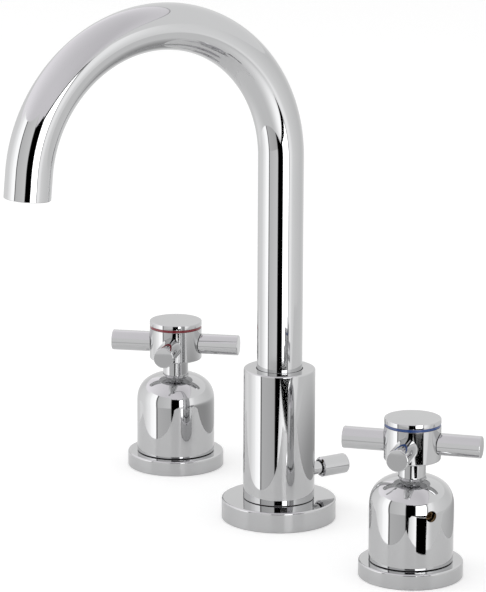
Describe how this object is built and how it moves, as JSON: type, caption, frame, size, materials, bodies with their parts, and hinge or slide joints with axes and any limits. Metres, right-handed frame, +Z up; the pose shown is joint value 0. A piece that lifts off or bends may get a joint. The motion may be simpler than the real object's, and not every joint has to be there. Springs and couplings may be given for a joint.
{
  "type": "widespread bathroom faucet",
  "caption": "Chrome widespread lavatory faucet: swivelling gooseneck spout, cross-handle ceramic disc valves and a rear lift rod.",
  "frame": {"origin": "on the deck, on the axis of the spout's column and of its hole", "axes": "+X along the valve line from the hot side to the cold side, -Y the way the spout reaches, +Z up"},
  "size_m": [0.277, 0.1948, 0.3645],
  "materials": {
    "chrome": "polished",
    "brass": "machined",
    "steel": "brushed",
    "rubber": "matte",
    "ceramic": "lapped",
    "dark_plastic": "moulded",
    "pale_plastic": "moulded",
    "hot_red": "gloss",
    "cold_blue": "gloss"
  },
  "bodies": {
    "base": {"spout_flange": "chrome", "spout_gasket": "rubber", "spout_sleeve": "chrome", "spout_shank": "brass", "inlet_tee": "brass", "swivel_bush": "dark_plastic", "spout_washer": "steel", "spout_lock_nut": "brass", "hot_flange": "chrome", "hot_gasket": "rubber", "hot_bell": "chrome", "hot_set_screw": "brass", "hot_valve_body": "brass", "hot_washer": "steel", "hot_lock_nut": "brass", "hot_cartridge_housing": "brass", "hot_gland_nut": "brass", "hot_seat_seal": "rubber", "hot_fixed_disc": "ceramic", "cold_flange": "chrome", "cold_gasket": "rubber", "cold_bell": "chrome", "cold_set_screw": "brass", "cold_valve_body": "brass", "cold_washer": "steel", "cold_lock_nut": "brass", "cold_cartridge_housing": "brass", "cold_gland_nut": "brass", "cold_seat_seal": "rubber", "cold_fixed_disc": "ceramic"},
    "spout": {"spout_tube": "chrome", "spout_spigot": "brass", "upper_o_ring": "rubber", "lower_o_ring": "rubber", "spout_snap_ring": "steel", "aerator_housing": "chrome", "aerator_insert": "pale_plastic"},
    "lift_rod": {"lift_rod": "steel", "lift_arm": "chrome", "lift_knob": "chrome"},
    "hot_handle": {"hot_hub": "chrome", "hot_spoke_1": "chrome", "hot_spoke_2": "chrome", "hot_spoke_3": "chrome", "hot_spoke_4": "chrome", "hot_cap": "chrome", "hot_index_ring": "hot_red", "hot_handle_screw": "steel", "hot_stem": "brass", "hot_moving_disc": "ceramic"},
    "cold_handle": {"cold_hub": "chrome", "cold_spoke_1": "chrome", "cold_spoke_2": "chrome", "cold_spoke_3": "chrome", "cold_spoke_4": "chrome", "cold_cap": "chrome", "cold_index_ring": "cold_blue", "cold_handle_screw": "steel", "cold_stem": "brass", "cold_moving_disc": "ceramic"}
  },
  "joints": [
    {"name": "spout_swivel", "type": "hinge", "parent": "base", "child": "spout", "pos_m": [0, 0, 0.06], "axis": [0, 0, 1], "continuous": true},
    {"name": "lift_rod_slide", "type": "slide", "parent": "base", "child": "lift_rod", "axis": [0, 0, 1], "range_m": [0, 0.02]},
    {"name": "hot_handle_turn", "type": "hinge", "parent": "base", "child": "hot_handle", "pos_m": [-0.1087, 0.0043, 0.06], "axis": [0, 0, 1], "range_deg": [0, 90]},
    {"name": "cold_handle_turn", "type": "hinge", "parent": "base", "child": "cold_handle", "pos_m": [0.1118, 0.0043, 0.06], "axis": [0, 0, -1], "range_deg": [0, 90]}
  ]
}
